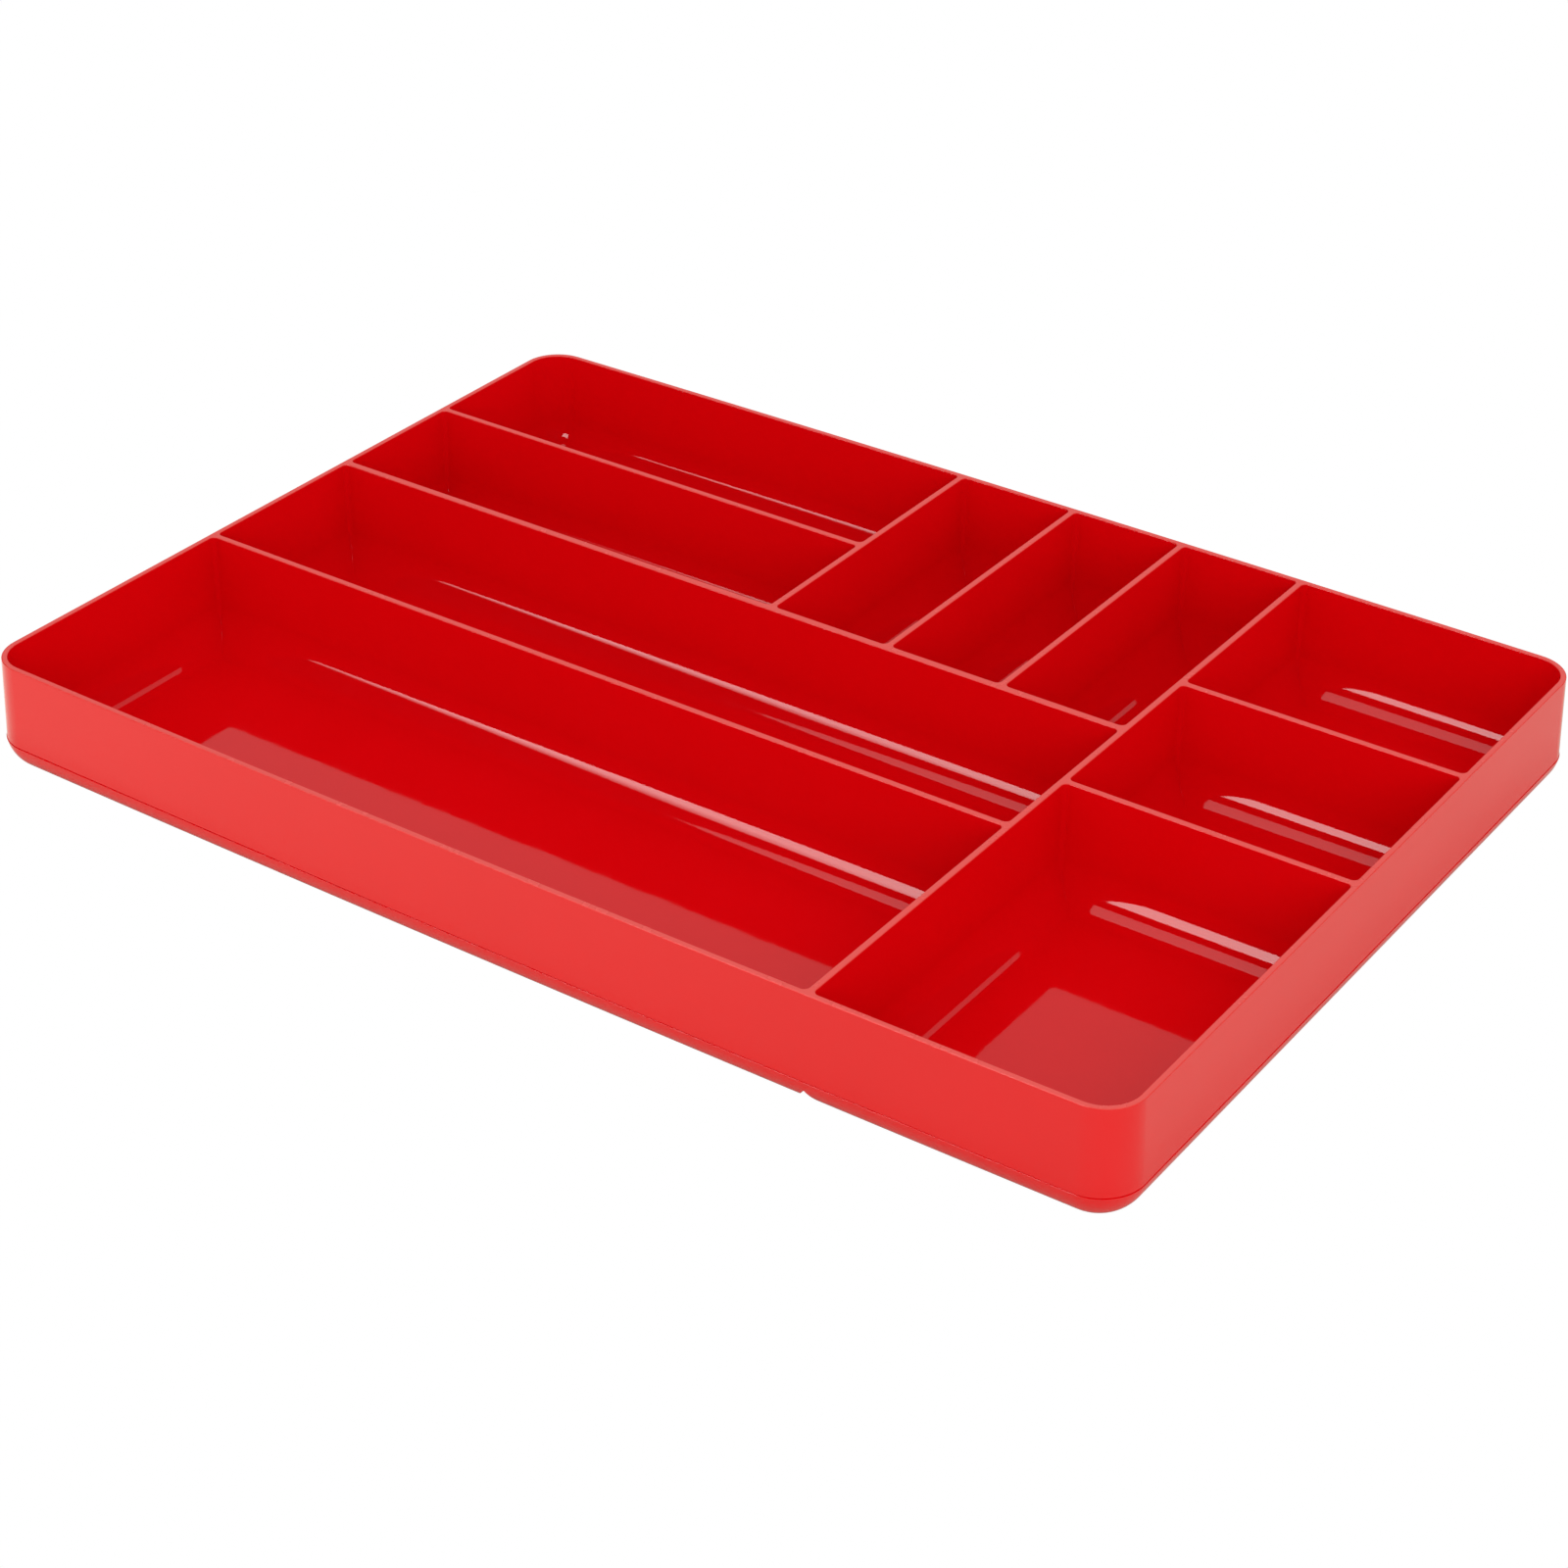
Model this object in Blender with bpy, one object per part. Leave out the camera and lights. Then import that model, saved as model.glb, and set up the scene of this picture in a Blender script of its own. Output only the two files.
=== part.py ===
"""A shallow divided organiser tray with ten open compartments, moulded in one piece in glossy red plastic.

The tray stands on z = 0 with its origin under the middle of its box. X runs along its length, Y from the
front wall to the back wall. A long block with a rounded lower edge is hollowed by ten drafted cavities, and
the plastic that stays between them is the nine dividers. A groove under each divider gives every
compartment its own round-edged tub on the underside. All sizes are in metres.
"""

import math
from collections import namedtuple
from functools import partial

import bmesh
import bpy

# Outside. The lower edge is a quarter round that stops at the step, where the tray is widest
LENGTH = 0.4064
WIDTH = 0.2850
HEIGHT = 0.0387
BOTTOM_RADIUS = 0.0127
STEP_HEIGHT = 0.0110
STEP_WIDTH = 0.00035
RIM_INSET = 0.0014
CORNER_RADIUS = 0.0140
LONG_WALL_BOW = 0.0015
BOW_STATION = 0.05

# Walls and floor
RIM_WALL = 0.0019
THIN_DIVIDER = 0.0022
THICK_DIVIDER = 0.0027
FLOOR = 0.0023
FLOOR_FILLET = 0.0115
INNER_DRAFT = 0.0004
UPRIGHT_FILLET = 0.0018
SMALLEST_RADIUS = 0.0002
CUT_OVERRUN = 0.002

# Grooves in the underside. The tubs on either side would overlap by twice the lap
GROOVE_LAP = 0.0009
GROOVE_HALF_ROOF = 0.0003

# Points along each kind of arc
LOWER_EDGE_ARC = 6
GROOVE_ARC = 5
FILLET_ARC = 5
TRAY_CORNER_ARC = 5
SMALL_CORNER_ARC = 3

Wall = namedtuple("Wall", "centre thickness outer")


def outer_wall(overall, side):
    """An outer wall on the low (-1) or high (+1) side of a tray that measures overall across."""
    return Wall(side * (overall / 2 - RIM_INSET - RIM_WALL / 2), RIM_WALL, True)


LEFT = outer_wall(LENGTH, -1)
RIGHT = outer_wall(LENGTH, 1)
FRONT = outer_wall(WIDTH, -1)
BACK = outer_wall(WIDTH, 1)

# Dividers across the width, then along the length
CROSS = Wall(0.1058, THIN_DIVIDER, False)
SMALL_1 = Wall(-0.0236, THIN_DIVIDER, False)
SMALL_2 = Wall(0.0204, THIN_DIVIDER, False)
SMALL_3 = Wall(0.0619, THIN_DIVIDER, False)
LONG_1 = Wall(-0.0394, THIN_DIVIDER, False)
LONG_2 = Wall(0.0266, THICK_DIVIDER, False)
LONG_3 = Wall(0.0789, THIN_DIVIDER, False)
RIGHT_1 = Wall(-0.0090, THIN_DIVIDER, False)
RIGHT_2 = Wall(0.0612, THIN_DIVIDER, False)

# Where each divider starts and ends
ACROSS = {
    "cross": (CROSS, FRONT, BACK),
    "small_1": (SMALL_1, LONG_2, BACK),
    "small_2": (SMALL_2, LONG_2, BACK),
    "small_3": (SMALL_3, LONG_2, BACK),
}
ALONG = {
    "long_1": (LONG_1, LEFT, CROSS),
    "long_2": (LONG_2, LEFT, CROSS),
    "long_3": (LONG_3, LEFT, SMALL_1),
    "right_1": (RIGHT_1, CROSS, RIGHT),
    "right_2": (RIGHT_2, CROSS, RIGHT),
}

# Each compartment lies between a left, a right, a front and a back wall
COMPARTMENTS = {
    "front_long": (LEFT, CROSS, FRONT, LONG_1),
    "middle_long": (LEFT, CROSS, LONG_1, LONG_2),
    "left_inner": (LEFT, SMALL_1, LONG_2, LONG_3),
    "left_back": (LEFT, SMALL_1, LONG_3, BACK),
    "small_left": (SMALL_1, SMALL_2, LONG_2, BACK),
    "small_middle": (SMALL_2, SMALL_3, LONG_2, BACK),
    "small_right": (SMALL_3, CROSS, LONG_2, BACK),
    "right_front": (CROSS, RIGHT, FRONT, RIGHT_1),
    "right_middle": (CROSS, RIGHT, RIGHT_1, RIGHT_2),
    "right_back": (CROSS, RIGHT, RIGHT_2, BACK),
}


def bowed(x, y):
    """Moves a point outwards with the long walls, which bow most at mid-length and leave the middle alone."""
    along = 1 - (2 * x / LENGTH) ** 2
    across = (2 * y / WIDTH) ** 4
    return y + math.copysign(LONG_WALL_BOW * along * across, y)


def ring(box, radii, inset, z):
    """Points round a rectangle with rounded corners, drawn in by inset. Its long sides carry bow stations."""
    x_low, x_high, y_low, y_high = box
    stations = max(1, round((x_high - x_low) / BOW_STATION))
    corners = ((x_high, y_low), (x_high, y_high), (x_low, y_high), (x_low, y_low))
    points = []
    for turned, ((x, y), (radius, arc)) in enumerate(zip(corners, radii)):
        sign_x = 1 if x == x_high else -1
        sign_y = 1 if y == y_high else -1
        turn = max(radius - inset, SMALLEST_RADIUS)
        centre_x = x - sign_x * (inset + turn)
        centre_y = y - sign_y * (inset + turn)
        for step in range(arc):
            angle = math.radians(90) * (turned - 1 + step / (arc - 1))
            points.append((centre_x + turn * math.cos(angle), centre_y + turn * math.sin(angle)))
    full = []
    for i, (x, y) in enumerate(points):
        full.append((x, y))
        next_x, next_y = points[(i + 1) % len(points)]
        if abs(next_x - x) > abs(next_y - y) and abs(next_x - x) > BOW_STATION / 2:
            for k in range(1, stations):
                share = k / stations
                full.append((x + share * (next_x - x), y + share * (next_y - y)))
    return [(x, bowed(x, y), z) for x, y in full]


def loft(mesh, rings):
    """Adds one closed shell to mesh: bands between rings of equal length, and a flat cap at each end."""
    layers = [[mesh.verts.new(point) for point in points] for points in rings]
    for lower, upper in zip(layers, layers[1:]):
        for i in range(len(lower)):
            j = (i + 1) % len(lower)
            mesh.faces.new((lower[i], lower[j], upper[j], upper[i]))
    mesh.faces.new(layers[0][::-1])
    mesh.faces.new(layers[-1])


def quarter(radius, arc, from_angle=0.0):
    """(inset, height) pairs of a quarter round, from its foot at 90 degrees up to from_angle at its side."""
    angles = [math.radians(90) + (from_angle - math.radians(90)) * step / (arc - 1) for step in range(arc)]
    return [(radius * (1 - math.cos(a)), radius * (1 - math.sin(a))) for a in angles]


def block_shell(mesh):
    """The tray's outside: flat underside, rounded lower edge, narrow step, drafted wall and flat top."""
    box = (-LENGTH / 2, LENGTH / 2, -WIDTH / 2, WIDTH / 2)
    radii = [(CORNER_RADIUS, TRAY_CORNER_ARC)] * 4
    edge = quarter(BOTTOM_RADIUS, LOWER_EDGE_ARC, math.asin(1 - STEP_HEIGHT / BOTTOM_RADIUS))
    widest = edge[-1][0]
    levels = [(inset - widest, z) for inset, z in edge]
    levels += [(STEP_WIDTH, STEP_HEIGHT), (RIM_INSET, HEIGHT)]
    loft(mesh, [ring(box, radii, inset, z) for inset, z in levels])


def cavity_shell(mesh, walls):
    """The space of one compartment, running out past the rim, with drafted sides and a filleted floor."""
    left, right, front, back = walls
    box = (
        left.centre + left.thickness / 2,
        right.centre - right.thickness / 2,
        front.centre + front.thickness / 2,
        back.centre - back.thickness / 2,
    )
    radii = []
    for side, end in ((right, front), (right, back), (left, back), (left, front)):
        if side.outer and end.outer:
            radii.append((CORNER_RADIUS - RIM_INSET - RIM_WALL, TRAY_CORNER_ARC))
        else:
            radii.append((UPRIGHT_FILLET, SMALL_CORNER_ARC))
    levels = [(INNER_DRAFT + inset, FLOOR + z) for inset, z in quarter(FLOOR_FILLET, FILLET_ARC)]
    levels += [(0.0, HEIGHT), (0.0, HEIGHT + CUT_OVERRUN)]
    loft(mesh, [ring(box, radii, inset, z) for inset, z in levels])


def groove_shell(mesh, divider, start, end, across):
    """A groove under one divider: two quarter-round flanks that meet in a narrow roof."""
    roof_angle = math.acos(1 - (GROOVE_HALF_ROOF + GROOVE_LAP) / BOTTOM_RADIUS)
    half = [(inset - GROOVE_LAP, z) for inset, z in quarter(BOTTOM_RADIUS, GROOVE_ARC, roof_angle)]
    half.insert(0, (half[0][0], -CUT_OVERRUN))
    profile = [(divider.centre + side, z) for side, z in half]
    profile += [(divider.centre - side, z) for side, z in reversed(half)]
    past_wall = BOTTOM_RADIUS
    low = start.centre - (past_wall if start.outer else 0)
    high = end.centre + (past_wall if end.outer else 0)
    if across:
        rings = [[(side, y, z) for side, z in profile] for y in (low, high)]
    else:
        rings = [[(x, side, z) for side, z in profile] for x in (low, high)]
    loft(mesh, rings)


def mesh_object(name, *shells):
    """A linked object whose mesh is made of the given closed shells, faces out and smooth across rounds."""
    mesh = bmesh.new()
    for add_shell in shells:
        add_shell(mesh)
    bmesh.ops.recalc_face_normals(mesh, faces=mesh.faces)
    data = bpy.data.meshes.new(name)
    mesh.to_mesh(data)
    mesh.free()
    data.shade_smooth()
    data.set_sharp_from_angle(angle=math.radians(40))
    made = bpy.data.objects.new(name, data)
    bpy.context.scene.collection.objects.link(made)
    return made


def cut(target, cutter):
    """Takes the cutter's shape out of target and keeps the cutter as a hidden guide."""
    cutter.hide_render = True
    cutter.display_type = "WIRE"
    modifier = target.modifiers.new(cutter.name, "BOOLEAN")
    modifier.operation = "DIFFERENCE"
    modifier.solver = "EXACT"
    modifier.object = cutter


def red_plastic():
    """Glossy red plastic, the same all through."""
    material = bpy.data.materials.new("red_gloss_plastic")
    material.use_nodes = True
    shader = material.node_tree.nodes["Principled BSDF"]
    shader.inputs["Base Color"].default_value = (0.62, 0.004, 0.006, 1.0)
    shader.inputs["Roughness"].default_value = 0.15
    shader.inputs["Metallic"].default_value = 0.0
    return material


def main():
    for old in list(bpy.data.objects):
        bpy.data.objects.remove(old, do_unlink=True)
    tray = mesh_object("organiser_tray", block_shell)
    tray.data.materials.append(red_plastic())
    for dividers, across in ((ACROSS, True), (ALONG, False)):
        for name, (divider, start, end) in dividers.items():
            shell = partial(groove_shell, divider=divider, start=start, end=end, across=across)
            cut(tray, mesh_object(f"groove_cutter_{name}", shell))
    cavities = [partial(cavity_shell, walls=walls) for walls in COMPARTMENTS.values()]
    cut(tray, mesh_object("compartment_cutter", *cavities))


main()
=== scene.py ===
"""Looks of a shallow red organiser tray with ten compartments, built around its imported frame.

The tray is one moulding. Its outside, its ten compartments and the nine grooves under its dividers are
surfaces of stacked rings, worked out as whole arrays, and the moulding is what stays of the outside when the
others are taken away. Every edge of the rim is rounded. All sizes are in metres.
"""

import math
from collections import namedtuple

import bpy
import numpy as np
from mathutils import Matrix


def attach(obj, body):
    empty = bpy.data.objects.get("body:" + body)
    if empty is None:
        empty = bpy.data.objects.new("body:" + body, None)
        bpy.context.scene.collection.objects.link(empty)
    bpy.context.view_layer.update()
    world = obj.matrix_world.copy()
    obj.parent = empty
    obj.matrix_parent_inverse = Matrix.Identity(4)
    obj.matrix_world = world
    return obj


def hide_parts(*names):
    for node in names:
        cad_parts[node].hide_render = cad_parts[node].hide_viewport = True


# Outside. The lower edge is a quarter round that stops at the step, where the tray is widest
LENGTH = 0.4064
WIDTH = 0.2850
HEIGHT = 0.0387
BOTTOM_RADIUS = 0.0127
STEP_HEIGHT = 0.0110
STEP_WIDTH = 0.00035
STEP_ROUND = 0.0002
STEP_FOOT = 0.00015
RIM_INSET = 0.0014
RIM_ROUND = 0.00035
CORNER_RADIUS = 0.0140
LONG_WALL_BOW = 0.0015

# Walls and floor
RIM_WALL = 0.0019
THIN_DIVIDER = 0.0022
THICK_DIVIDER = 0.0027
FLOOR = 0.0023
FLOOR_FILLET = 0.0115
INNER_DRAFT = 0.0004
UPRIGHT_FILLET = 0.0018
SMALLEST_RADIUS = 0.0002
CUT_OVERRUN = 0.002

# Grooves in the underside. The tubs on either side would overlap by twice the lap
GROOVE_LAP = 0.0009
GROOVE_HALF_ROOF = 0.0003

# Points along each kind of arc and each straight side
LONG_ARC = 25
CORNER_ARC = 17
EDGE_ARC = 6
SIDE_STATIONS = 20
WALL_LEVELS = 4

SHARP_ANGLE = math.radians(40)
WELD_DISTANCE = 2e-6

Wall = namedtuple("Wall", "centre thickness outer")


def outer_wall(overall, side):
    """An outer wall on the low (-1) or high (+1) side of a tray that measures overall across."""
    return Wall(side * (overall / 2 - RIM_INSET - RIM_WALL / 2), RIM_WALL, True)


LEFT = outer_wall(LENGTH, -1)
RIGHT = outer_wall(LENGTH, 1)
FRONT = outer_wall(WIDTH, -1)
BACK = outer_wall(WIDTH, 1)

# Dividers across the width, then along the length
CROSS = Wall(0.1058, THIN_DIVIDER, False)
SMALL_1 = Wall(-0.0236, THIN_DIVIDER, False)
SMALL_2 = Wall(0.0204, THIN_DIVIDER, False)
SMALL_3 = Wall(0.0619, THIN_DIVIDER, False)
LONG_1 = Wall(-0.0394, THIN_DIVIDER, False)
LONG_2 = Wall(0.0266, THICK_DIVIDER, False)
LONG_3 = Wall(0.0789, THIN_DIVIDER, False)
RIGHT_1 = Wall(-0.0090, THIN_DIVIDER, False)
RIGHT_2 = Wall(0.0612, THIN_DIVIDER, False)

# Each divider with the walls where it starts and ends
ACROSS = (
    (CROSS, FRONT, BACK),
    (SMALL_1, LONG_2, BACK),
    (SMALL_2, LONG_2, BACK),
    (SMALL_3, LONG_2, BACK),
)
ALONG = (
    (LONG_1, LEFT, CROSS),
    (LONG_2, LEFT, CROSS),
    (LONG_3, LEFT, SMALL_1),
    (RIGHT_1, CROSS, RIGHT),
    (RIGHT_2, CROSS, RIGHT),
)

# Each compartment lies between a left, a right, a front and a back wall
COMPARTMENTS = (
    (LEFT, CROSS, FRONT, LONG_1),
    (LEFT, CROSS, LONG_1, LONG_2),
    (LEFT, SMALL_1, LONG_2, LONG_3),
    (LEFT, SMALL_1, LONG_3, BACK),
    (SMALL_1, SMALL_2, LONG_2, BACK),
    (SMALL_2, SMALL_3, LONG_2, BACK),
    (SMALL_3, CROSS, LONG_2, BACK),
    (CROSS, RIGHT, FRONT, RIGHT_1),
    (CROSS, RIGHT, RIGHT_1, RIGHT_2),
    (CROSS, RIGHT, RIGHT_2, BACK),
)

# Camera
CAMERA_PLACE = (0.51633, -0.75121, 0.55822)
CAMERA_TURN = (58.2729, -0.5057, 34.7758)
CAMERA_LENS = 78.018
CAMERA_SENSOR = 36.0

# Plastic. Its reds hold almost no green or blue. The tops of the rim and dividers are paler only as a painted
# highlight
RED_LOW = (0.80, 0.0006, 0.0030, 1.0)
RED_HIGH = (0.84, 0.0010, 0.0045, 1.0)
# A paler red painted on the tops of the rim and dividers as a highlight of the light they catch
RIM_TOP_HIGHLIGHT_RED = (0.95, 0.082, 0.068, 1.0)
MOTTLE_SCALE = 38.0
HAZE_SCALE = 120.0
HAZE_LOW = 0.03
HAZE_HIGH = 0.06
RIM_TOP_HAZE = 0.22
NOISE_LOW = 0.3
NOISE_HIGH = 0.7
WAVE_SCALE = 90.0
WAVE_HEIGHT = 0.0002
WAVE_STRENGTH = 0.12
PLASTIC_IOR = 1.5

# Floor. Its glow falls from left to right, and stops at the tray's contact shade
FLOOR_HALF = 6.0
PAPER = (0.75, 0.74, 0.65, 1.0)
PAPER_GLOW = (1.0, 0.98, 0.86, 1.0)
GLOW_LEFT = 0.50
GLOW_RIGHT = 0.15
GLOW_LEFT_END = -0.20
GLOW_RIGHT_END = 0.25
SHADE_START = -0.004
SHADE_END = 0.02

# Lights. A place is the middle of a light, and a turn is its rotation from facing down, in degrees
Light = namedtuple("Light", "name shape place turn size brightness")
FRONT_CARD = Light("front_card", "RECTANGLE", (-0.525, -1.153, 0.665), (-13.9, 0, 0), (1.15, 1.54), 4.7)
TOP_CARD = Light("top_card", "DISK", (-0.43, -0.11, 1.50), (0, 0, 0), (0.88, 0.88), 1.0)
BACK_CARD = Light("back_card", "RECTANGLE", (-2.30, 3.00, 2.90), (-90, 0, 0), (4.8, 4.4), 0.41)
FILL = Light("fill", "RECTANGLE", (1.40, -1.40, 1.10), (60, 0, 45), (1.5, 1.5), 1.4)
SURROUND_BRIGHTNESS = 0.74

# The deepest ray that still meets a card. Depth 2 is a card seen in the first mirroring
CARD_DEPTH = 2.5

# The front card fades towards a line, given by its normal in plan and its distance from the origin
FADE_NORMAL = (0.625, -0.781)
FADE_START = 0.088
FADE_WIDTH = 0.18
FADE_POWER = 0.6


def bowed(points):
    """Points moved outwards with the long walls. The move is the bow, times one less the square of the share
    of the half length, times the fourth power of the share of the half width, so the middle stays put."""
    x, y, z = np.moveaxis(points, -1, 0)
    along = 1 - (2 * x / LENGTH) ** 2
    across = (2 * y / WIDTH) ** 4
    return np.stack([x, y + np.copysign(LONG_WALL_BOW * along * across, y), z], axis=-1)


def quarter(radius, count, first=90.0, last=0.0):
    """(inset, height) along an arc of a quarter round that stands on its foot: the inset is the radius times
    one less the cosine of the angle, and the height is the radius times one less the sine of the angle. The
    foot is at 90 degrees."""
    angle = np.radians(np.linspace(first, last, count))
    return np.stack([radius * (1 - np.cos(angle)), radius * (1 - np.sin(angle))], axis=-1)


def crest(radius, count):
    """(inset, height) up the outside of a rounded top edge, from its side to its top. It is a quarter round
    turned upside down, so both parts grow to the radius."""
    angle = np.radians(np.linspace(0, 90, count))
    return np.stack([radius * (1 - np.cos(angle)), radius * np.sin(angle)], axis=-1)


def straight(start, end, count):
    """(inset, height) levels at equal shares of a straight wall, without its two ends."""
    along = np.linspace(0, 1, count + 2)[1:-1, None]
    return np.asarray(start) * (1 - along) + np.asarray(end) * along


def rings(box, radii, levels):
    """Rings round a rectangle with rounded corners, one for each (inset, height) level. At each corner the
    ring is an arc about a centre that lies the inset and the arc's radius in from both sides, the radius is
    the corner's less the inset, and straight runs at equal shares join the arcs."""
    x_low, x_high, y_low, y_high = box
    corner = np.array([(x_high, y_low), (x_high, y_high), (x_low, y_high), (x_low, y_low)])
    sign = np.array([(1, -1), (1, 1), (-1, 1), (-1, -1)])
    inset = levels[:, :1]
    turn = np.maximum(np.asarray(radii) - inset, SMALLEST_RADIUS)
    centre = corner - sign * (inset + turn)[..., None]
    angle = math.pi / 2 * (np.arange(4)[:, None] - 1 + np.linspace(0, 1, CORNER_ARC))
    around = np.stack([np.cos(angle), np.sin(angle)], axis=-1)
    arcs = centre[:, :, None] + turn[:, :, None, None] * around
    along = np.linspace(0, 1, SIDE_STATIONS + 2)[1:-1, None]
    starts = arcs[:, :, -1:]
    ends = np.roll(arcs[:, :, :1], -1, axis=1)
    runs = starts * (1 - along) + ends * along
    flat = np.concatenate([arcs, runs], axis=2).reshape(len(levels), -1, 2)
    height = np.broadcast_to(levels[:, 1:, None], (*flat.shape[:2], 1))
    return bowed(np.concatenate([flat, height], axis=-1))


def block_rings():
    """The tray's outside, from its flat underside up: rounded lower edge, narrow step with softened edges,
    drafted wall and rounded rim. Each level is an inset from the widest outline and a height."""
    box = (-LENGTH / 2, LENGTH / 2, -WIDTH / 2, WIDTH / 2)
    widest = math.degrees(math.asin(1 - STEP_HEIGHT / BOTTOM_RADIUS))
    edge = quarter(BOTTOM_RADIUS, LONG_ARC, last=widest)
    edge[:, 0] -= edge[-1, 0]
    ledge = crest(STEP_ROUND, EDGE_ARC) + (0, STEP_HEIGHT - STEP_ROUND)
    foot = quarter(STEP_FOOT, EDGE_ARC)
    foot[:, 0] = STEP_WIDTH - foot[::-1, 0]
    foot[:, 1] += STEP_HEIGHT
    rim = crest(RIM_ROUND, EDGE_ARC) + (RIM_INSET, HEIGHT - RIM_ROUND)
    wall = straight(foot[-1], rim[0], WALL_LEVELS)
    lower = edge[edge[:, 1] < ledge[0, 1] - WELD_DISTANCE]
    return rings(box, (CORNER_RADIUS,) * 4, np.concatenate([lower, ledge, foot, wall, rim]))


def compartment_rings(left, right, front, back):
    """The space of one compartment, from its floor up: a quarter round, a drafted wall, and a rounded edge
    that flares out to the rim's flat top, past which the space runs on straight."""
    box = (
        left.centre + left.thickness / 2,
        right.centre - right.thickness / 2,
        front.centre + front.thickness / 2,
        back.centre - back.thickness / 2,
    )
    in_rim_corner = CORNER_RADIUS - RIM_INSET - RIM_WALL
    ends = ((right, front), (right, back), (left, back), (left, front))
    radii = [in_rim_corner if a.outer and b.outer else UPRIGHT_FILLET for a, b in ends]
    fillet = quarter(FLOOR_FILLET, LONG_ARC) + (INNER_DRAFT, FLOOR)
    flare = crest(RIM_ROUND, EDGE_ARC) * (-1, 1) + (0, HEIGHT - RIM_ROUND)
    wall = straight(fillet[-1], flare[0], WALL_LEVELS)
    past = np.array([(-RIM_ROUND, HEIGHT + CUT_OVERRUN)])
    return rings(box, radii, np.concatenate([fillet, wall, flare, past]))


def groove_rings(divider, start, end, across):
    """The groove under one divider: a section of two quarter-round flanks that meet in a narrow roof, carried
    straight along the divider and out through any outer wall."""
    roof = math.degrees(math.acos(1 - (GROOVE_HALF_ROOF + GROOVE_LAP) / BOTTOM_RADIUS))
    flank = quarter(BOTTOM_RADIUS, LONG_ARC, last=roof) - (GROOVE_LAP, 0)
    flank = np.concatenate([[(flank[0, 0], -CUT_OVERRUN)], flank])
    section = np.concatenate([flank, flank[::-1] * (-1, 1)]) + (divider.centre, 0)
    low = start.centre - BOTTOM_RADIUS * start.outer
    high = end.centre + BOTTOM_RADIUS * end.outer
    points = np.empty((2, len(section), 3))
    points[:, :, 0 if across else 1] = section[:, 0]
    points[:, :, 1 if across else 0] = ((low,), (high,))
    points[:, :, 2] = section[:, 1]
    return points[::-1] if across else points


def shell_mesh(name, shells):
    """A mesh of closed shells. In each, neighbouring points of neighbouring rings make the sides, and the
    first and last rings are closed by one flat face each. Rings run anticlockwise seen from the last one."""
    points, faces, total = [], [], 0
    for shell in shells:
        levels, around = shell.shape[:2]
        here = np.arange(around)
        ahead = np.roll(here, -1)
        lift = total + around * np.arange(levels - 1)[:, None]
        sides = np.stack([lift + here, lift + ahead, lift + ahead + around, lift + here + around], axis=-1)
        faces += sides.reshape(-1, 4).tolist()
        faces += [(total + here[::-1]).tolist(), (total + around * (levels - 1) + here).tolist()]
        points.append(shell.reshape(-1, 3))
        total += levels * around
    mesh = bpy.data.meshes.new(name)
    mesh.from_pydata(np.concatenate(points), [], faces)
    return mesh


def placed(name, data):
    """A linked object of this name that holds the mesh, light or camera."""
    made = bpy.data.objects.new(name, data)
    bpy.context.scene.collection.objects.link(made)
    return made


def tray_mesh():
    """The moulding: the outside less the grooves and the compartments, with smooth rounds."""
    block = placed("tray_block", shell_mesh("tray_block", [block_rings()]))
    cutters = []
    for group, across in ((ACROSS, True), (ALONG, False)):
        for divider, start, end in group:
            groove = shell_mesh("groove", [groove_rings(divider, start, end, across)])
            cutters.append(placed("groove", groove))
    spaces = [compartment_rings(*walls) for walls in COMPARTMENTS]
    cutters.append(placed("compartments", shell_mesh("compartments", spaces)))
    for cutter in cutters:
        step = block.modifiers.new(cutter.name, "BOOLEAN")
        step.operation = "DIFFERENCE"
        step.solver = "EXACT"
        step.object = cutter
    weld = block.modifiers.new("weld", "WELD")
    weld.merge_threshold = WELD_DISTANCE
    ready = block.evaluated_get(bpy.context.evaluated_depsgraph_get())
    mesh = bpy.data.meshes.new_from_object(ready)
    for used in (block, *cutters):
        bpy.data.objects.remove(used, do_unlink=True)
    mesh.name = "red_tray"
    mesh.shade_smooth()
    mesh.set_sharp_from_angle(angle=SHARP_ANGLE)
    return mesh


def blank_material(name):
    """A new material, its node tree and its shader."""
    material = bpy.data.materials.new(name)
    material.use_nodes = True
    return material, material.node_tree, material.node_tree.nodes["Principled BSDF"]


def output(tree, kind, name):
    """The named output of a new node of this kind."""
    return tree.nodes.new(kind).outputs[name]


def maths(tree, operation, *terms):
    """The result of a Math node on these terms, each a number or another node's output."""
    node = tree.nodes.new("ShaderNodeMath")
    node.operation = operation
    for slot, term in zip(node.inputs, terms):
        if isinstance(term, (int, float)):
            slot.default_value = term
        else:
            tree.links.new(term, slot)
    return node.outputs["Value"]


def share(tree, value, low, high, to_low=0.0, to_high=1.0):
    """A Map Range node's result: value moved from the range low to high into the range to_low to to_high,
    and kept inside it."""
    node = tree.nodes.new("ShaderNodeMapRange")
    for key, number in zip(("From Min", "From Max", "To Min", "To Max"), (low, high, to_low, to_high)):
        node.inputs[key].default_value = number
    tree.links.new(value, node.inputs["Value"])
    return node.outputs["Result"]


def split(tree, place):
    """The X, Y and Z of a place."""
    node = tree.nodes.new("ShaderNodeSeparateXYZ")
    tree.links.new(place, node.inputs["Vector"])
    return node.outputs


def noise(tree, place, scale, detail):
    """Smooth noise at a place, mostly between NOISE_LOW and NOISE_HIGH."""
    node = tree.nodes.new("ShaderNodeTexNoise")
    node.inputs["Scale"].default_value = scale
    node.inputs["Detail"].default_value = detail
    tree.links.new(place, node.inputs["Vector"])
    return node.outputs["Fac"]


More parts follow.
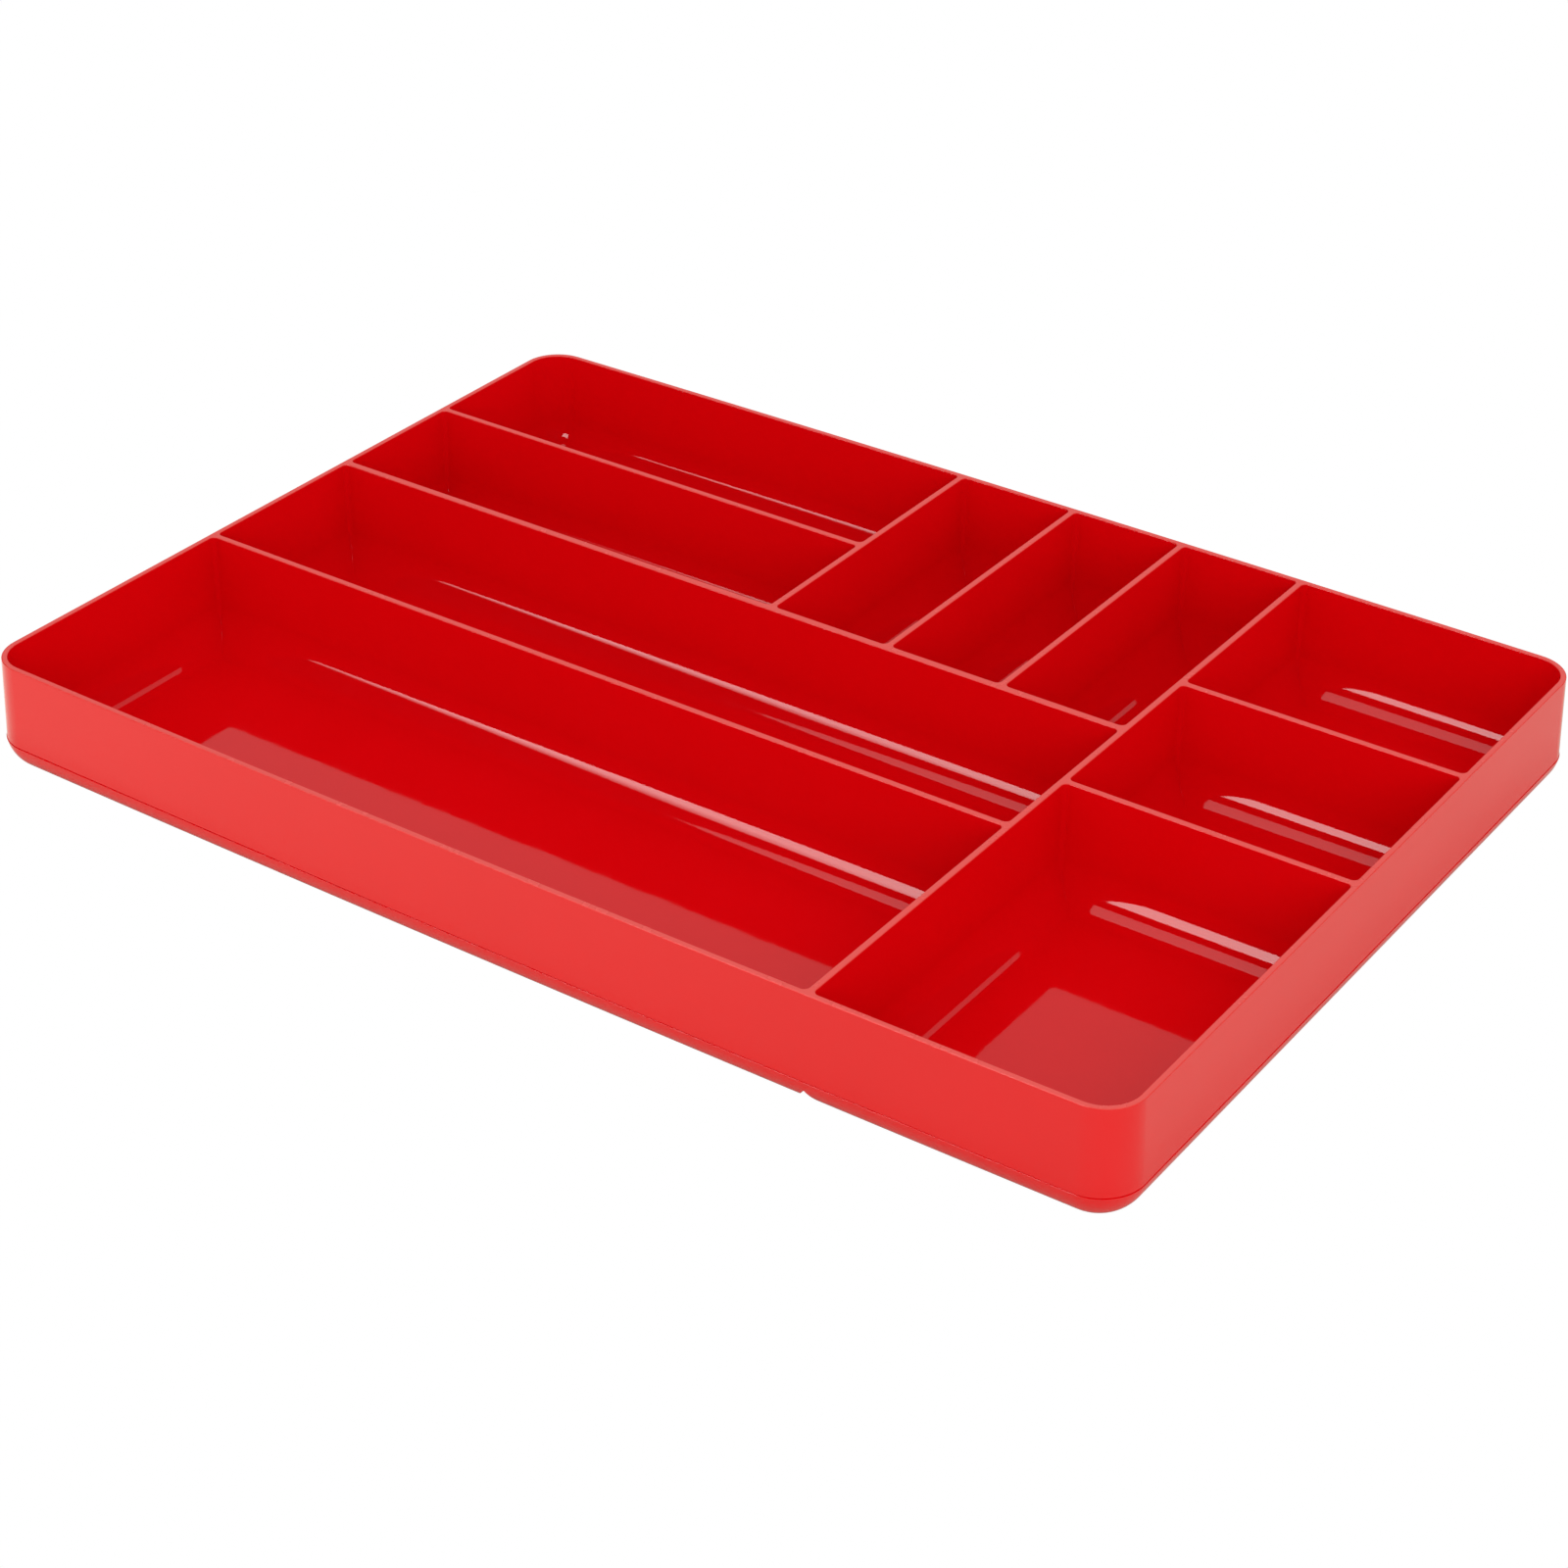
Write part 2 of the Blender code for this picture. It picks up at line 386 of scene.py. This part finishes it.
def blend(tree, factor, first, second):
    """A colour on the way from first to second, each a colour or another node's output."""
    node = tree.nodes.new("ShaderNodeMix")
    node.data_type = "RGBA"
    tree.links.new(factor, node.inputs["Factor"])
    for slot, colour in ((node.inputs[6], first), (node.inputs[7], second)):
        if isinstance(colour, tuple):
            slot.default_value = colour
        else:
            tree.links.new(colour, slot)
    return node.outputs[2]


def red_gloss_plastic():
    """Glossy red moulded plastic: faintly mottled colour, polished faces with a slight haze and wave, and a
    duller band along the top of the rim and the dividers, where the colour is also painted paler as a
    highlight."""
    material, tree, shader = blank_material("red_gloss_plastic")
    links = tree.links
    place = output(tree, "ShaderNodeTexCoord", "Object")
    height = split(tree, place)["Z"]
    mottled = blend(tree, noise(tree, place, MOTTLE_SCALE, 3.0), RED_LOW, RED_HIGH)
    # Painted highlight: the base colour turns paler over the top of the rim and the dividers
    painted_highlight_band = share(tree, height, HEIGHT - 0.8 * RIM_ROUND, HEIGHT)
    links.new(blend(tree, painted_highlight_band, mottled, RIM_TOP_HIGHLIGHT_RED), shader.inputs["Base Color"])
    haze = share(tree, noise(tree, place, HAZE_SCALE, 4.0), NOISE_LOW, NOISE_HIGH, HAZE_LOW, HAZE_HIGH)
    dull = share(tree, height, HEIGHT - RIM_ROUND, HEIGHT - 0.4 * RIM_ROUND, 0.0, RIM_TOP_HAZE)
    links.new(maths(tree, "ADD", haze, dull), shader.inputs["Roughness"])
    wave = tree.nodes.new("ShaderNodeBump")
    wave.inputs["Strength"].default_value = WAVE_STRENGTH
    wave.inputs["Distance"].default_value = WAVE_HEIGHT
    links.new(noise(tree, place, WAVE_SCALE, 2.0), wave.inputs["Height"])
    links.new(wave.outputs["Normal"], shader.inputs["Normal"])
    shader.inputs["IOR"].default_value = PLASTIC_IOR
    return material


def white_paper():
    """Matt white paper that glows as a lit sweep does, least on the right and not at all in the tray's own
    contact shade. Seen directly it is plain white."""
    material, tree, shader = blank_material("white_paper")
    links = tree.links
    place = split(tree, output(tree, "ShaderNodeTexCoord", "Object"))
    beside = maths(tree, "SUBTRACT", maths(tree, "ABSOLUTE", place["X"]), LENGTH / 2)
    before = maths(tree, "SUBTRACT", maths(tree, "ABSOLUTE", place["Y"]), WIDTH / 2 + LONG_WALL_BOW)
    clear = share(tree, maths(tree, "MAXIMUM", beside, before), SHADE_START, SHADE_END)
    along = share(tree, place["X"], GLOW_LEFT_END, GLOW_RIGHT_END, GLOW_LEFT, GLOW_RIGHT)
    shader.inputs["Base Color"].default_value = PAPER
    shader.inputs["Roughness"].default_value = 1.0
    shader.inputs["Specular IOR Level"].default_value = 0.0
    shader.inputs["Emission Color"].default_value = PAPER_GLOW
    links.new(maths(tree, "MULTIPLY", clear, along), shader.inputs["Emission Strength"])
    seen = tree.nodes.new("ShaderNodeMixShader")
    links.new(output(tree, "ShaderNodeLightPath", "Is Camera Ray"), seen.inputs[0])
    links.new(shader.outputs["BSDF"], seen.inputs[1])
    links.new(output(tree, "ShaderNodeEmission", "Emission"), seen.inputs[2])
    links.new(seen.outputs["Shader"], tree.nodes["Material Output"].inputs["Surface"])
    return material


def white_floor():
    """A wide square of white paper that the tray stands on."""
    corners = FLOOR_HALF * np.array([(-1, -1, 0), (1, -1, 0), (1, 1, 0), (-1, 1, 0)], float)
    mesh = bpy.data.meshes.new("floor")
    mesh.from_pydata(corners, [], [(0, 1, 2, 3)])
    mesh.materials.append(white_paper())
    placed("floor", mesh)


def soft_light(light):
    """An area light that isn't seen directly. An area light's face is as bright as a quarter of its energy
    over its area."""
    data = bpy.data.lights.new(light.name, "AREA")
    data.shape = light.shape
    data.size = light.size[0]
    area = light.size[0] * light.size[1]
    if light.shape == "RECTANGLE":
        data.size_y = light.size[1]
    else:
        area *= math.pi / 4
    data.energy = 4.0 * area * light.brightness
    made = placed(light.name, data)
    made.location = light.place
    made.rotation_euler = [math.radians(angle) for angle in light.turn]
    made.visible_camera = False
    return made


def card(light, fading=False):
    """A soft light that shows as a reflection in the gloss and adds no other light. It is mirrored once
    only, so the walls of a compartment don't pass it on to its floor. A fading one dims towards a slanting
    line across its left part, as a power of the distance past the line."""
    made = soft_light(light)
    made.visible_diffuse = False
    made.data.use_nodes = True
    tree = made.data.node_tree
    strength = maths(tree, "LESS_THAN", output(tree, "ShaderNodeLightPath", "Ray Depth"), CARD_DEPTH)
    if fading:
        place = split(tree, output(tree, "ShaderNodeNewGeometry", "Position"))
        run_x = maths(tree, "MULTIPLY", place["X"], FADE_NORMAL[0])
        run_y = maths(tree, "MULTIPLY", place["Y"], FADE_NORMAL[1])
        past = share(tree, maths(tree, "ADD", run_x, run_y), FADE_START, FADE_START + FADE_WIDTH)
        strength = maths(tree, "MULTIPLY", strength, maths(tree, "POWER", past, FADE_POWER))
    tree.links.new(strength, tree.nodes["Emission"].inputs["Strength"])


def surround():
    """A pale surround that lights the tray but isn't mirrored in it. Seen directly it is plain white."""
    world = bpy.data.worlds.new("pale_surround")
    world.use_nodes = True
    tree = world.node_tree
    seen = output(tree, "ShaderNodeLightPath", "Is Camera Ray")
    background = tree.nodes["Background"]
    background.inputs["Color"].default_value = (1.0, 1.0, 1.0, 1.0)
    tree.links.new(maths(tree, "MAXIMUM", seen, SURROUND_BRIGHTNESS), background.inputs["Strength"])
    world.cycles_visibility.glossy = False
    bpy.context.scene.world = world


def studio():
    """The floor, three soft cards, a light that fills the compartments, and the surround."""
    white_floor()
    card(FRONT_CARD, fading=True)
    card(TOP_CARD)
    card(BACK_CARD)
    soft_light(FILL).visible_glossy = False
    surround()
    bpy.context.scene.view_settings.view_transform = "Standard"


def camera():
    """The camera, at the place and turn from which the tray is looked at."""
    data = bpy.data.cameras.new("camera")
    data.sensor_width = CAMERA_SENSOR
    data.lens = CAMERA_LENS
    made = placed("camera", data)
    made.location = CAMERA_PLACE
    made.rotation_euler = [math.radians(angle) for angle in CAMERA_TURN]
    bpy.context.scene.camera = made


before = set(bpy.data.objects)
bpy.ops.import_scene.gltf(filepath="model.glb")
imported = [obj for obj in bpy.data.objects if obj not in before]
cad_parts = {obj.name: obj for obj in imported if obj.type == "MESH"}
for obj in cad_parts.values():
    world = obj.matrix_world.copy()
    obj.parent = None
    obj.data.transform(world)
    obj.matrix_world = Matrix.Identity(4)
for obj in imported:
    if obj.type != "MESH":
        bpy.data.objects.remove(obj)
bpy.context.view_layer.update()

tray = placed("red_tray", tray_mesh())
tray.data.materials.clear()
tray.data.materials.append(red_gloss_plastic())
facing = tray.modifiers.new("flat_faces_stay_flat", "WEIGHTED_NORMAL")
facing.keep_sharp = True
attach(tray, "root")
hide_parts("organiser_tray")

studio()
camera()
